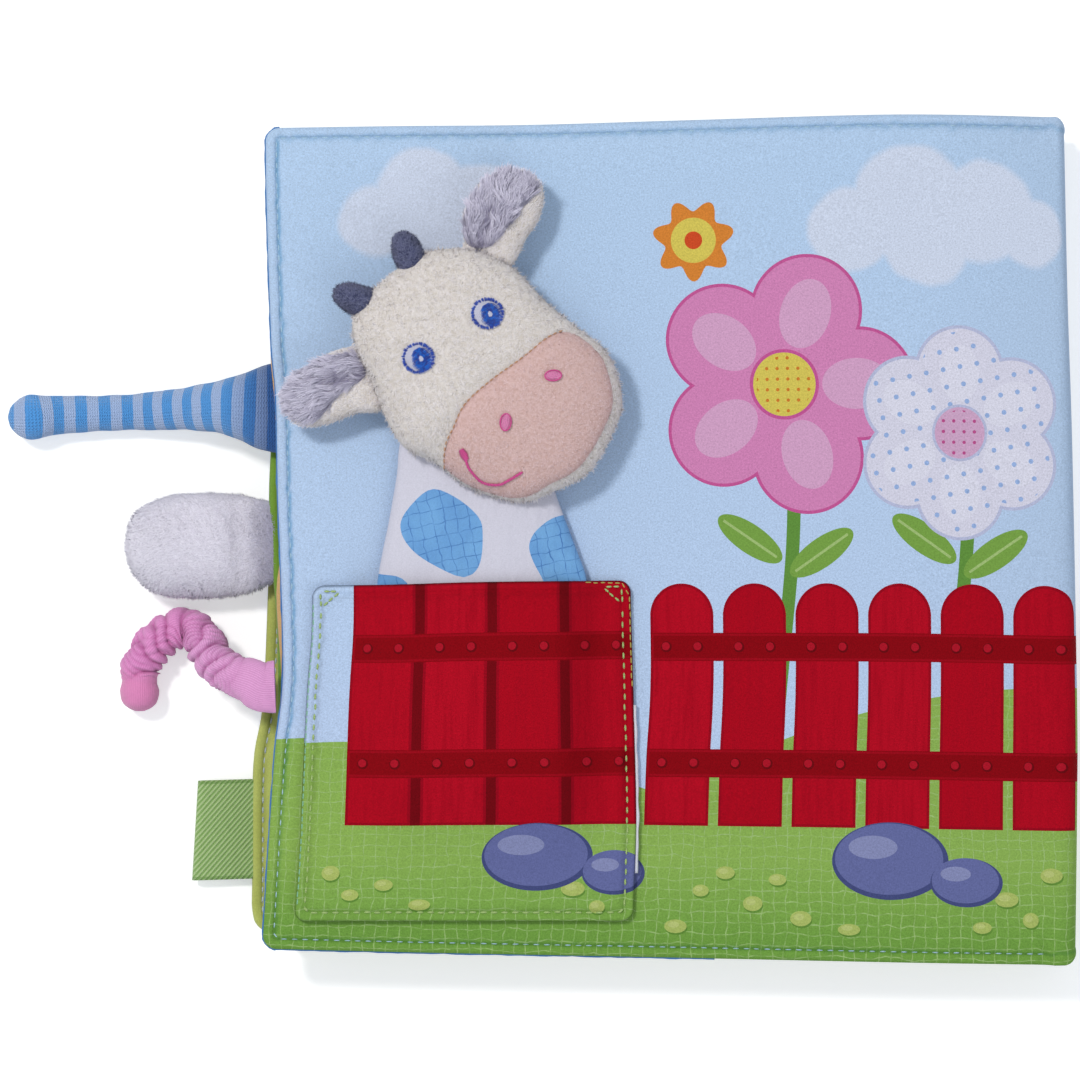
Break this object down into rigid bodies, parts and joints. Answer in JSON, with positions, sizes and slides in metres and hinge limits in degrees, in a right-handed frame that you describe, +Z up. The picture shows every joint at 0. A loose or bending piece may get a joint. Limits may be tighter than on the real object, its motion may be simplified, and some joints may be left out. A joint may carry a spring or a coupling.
{
  "type": "soft book",
  "caption": "Padded cloth book with two hinged covers, a pocket that holds a cow finger puppet, and stuffed animal tails and a folded tab at its free edges.",
  "frame": {"origin": "middle of the front cover's underside, on which the book lies", "axes": "+X towards the spine, +Y towards the top of the printed scene, +Z up through the back cover"},
  "size_m": [0.2697, 0.208, 0.048],
  "materials": {
    "printed_cloth": "matt printed polyester weave",
    "pocket_cloth": "matt printed polyester weave",
    "leaf_cloth": "matt printed polyester weave",
    "olive_cloth": "matt printed polyester weave",
    "sleeve_cloth": "matt printed polyester weave",
    "striped_knit": "single jersey knit in two blues",
    "white_plush": "short fluffy pile",
    "cream_plush": "short fluffy pile",
    "peach_velour": "very short pile",
    "grey_pile": "long brushed pile",
    "dark_felt": "short dense pile",
    "blue_thread": "satin embroidery",
    "pink_thread": "satin embroidery",
    "pink_jersey": "scrunched jersey",
    "green_twill": "woven twill tape",
    "white_tape": "satin tape"
  },
  "bodies": {
    "pages": {"pages": "leaf_cloth", "spine": "printed_cloth", "striped_tail": "striped_knit", "plush_tail": "white_plush"},
    "back_cover": {"back_cover": "printed_cloth", "pocket": "pocket_cloth", "side_label": "white_tape", "cow_body": "sleeve_cloth", "cow_head": "cream_plush", "cow_muzzle": "peach_velour", "left_ear": "cream_plush", "right_ear": "cream_plush", "left_ear_lining": "grey_pile", "right_ear_lining": "grey_pile", "left_horn": "dark_felt", "right_horn": "dark_felt", "left_eye": "blue_thread", "right_eye": "blue_thread", "nostrils": "pink_thread", "mouth": "pink_thread", "curly_tail": "pink_jersey"},
    "front_cover": {"front_cover": "olive_cloth", "label_tab": "green_twill"}
  },
  "joints": [
    {"name": "back_cover_hinge", "type": "hinge", "parent": "pages", "child": "back_cover", "pos_m": [0.098, 0, 0.0252], "axis": [0, 1, 0], "range_deg": [0, 180]},
    {"name": "front_cover_hinge", "type": "hinge", "parent": "pages", "child": "front_cover", "pos_m": [0.098, 0, 0], "axis": [0, -1, 0], "range_deg": [0, 180]}
  ]
}
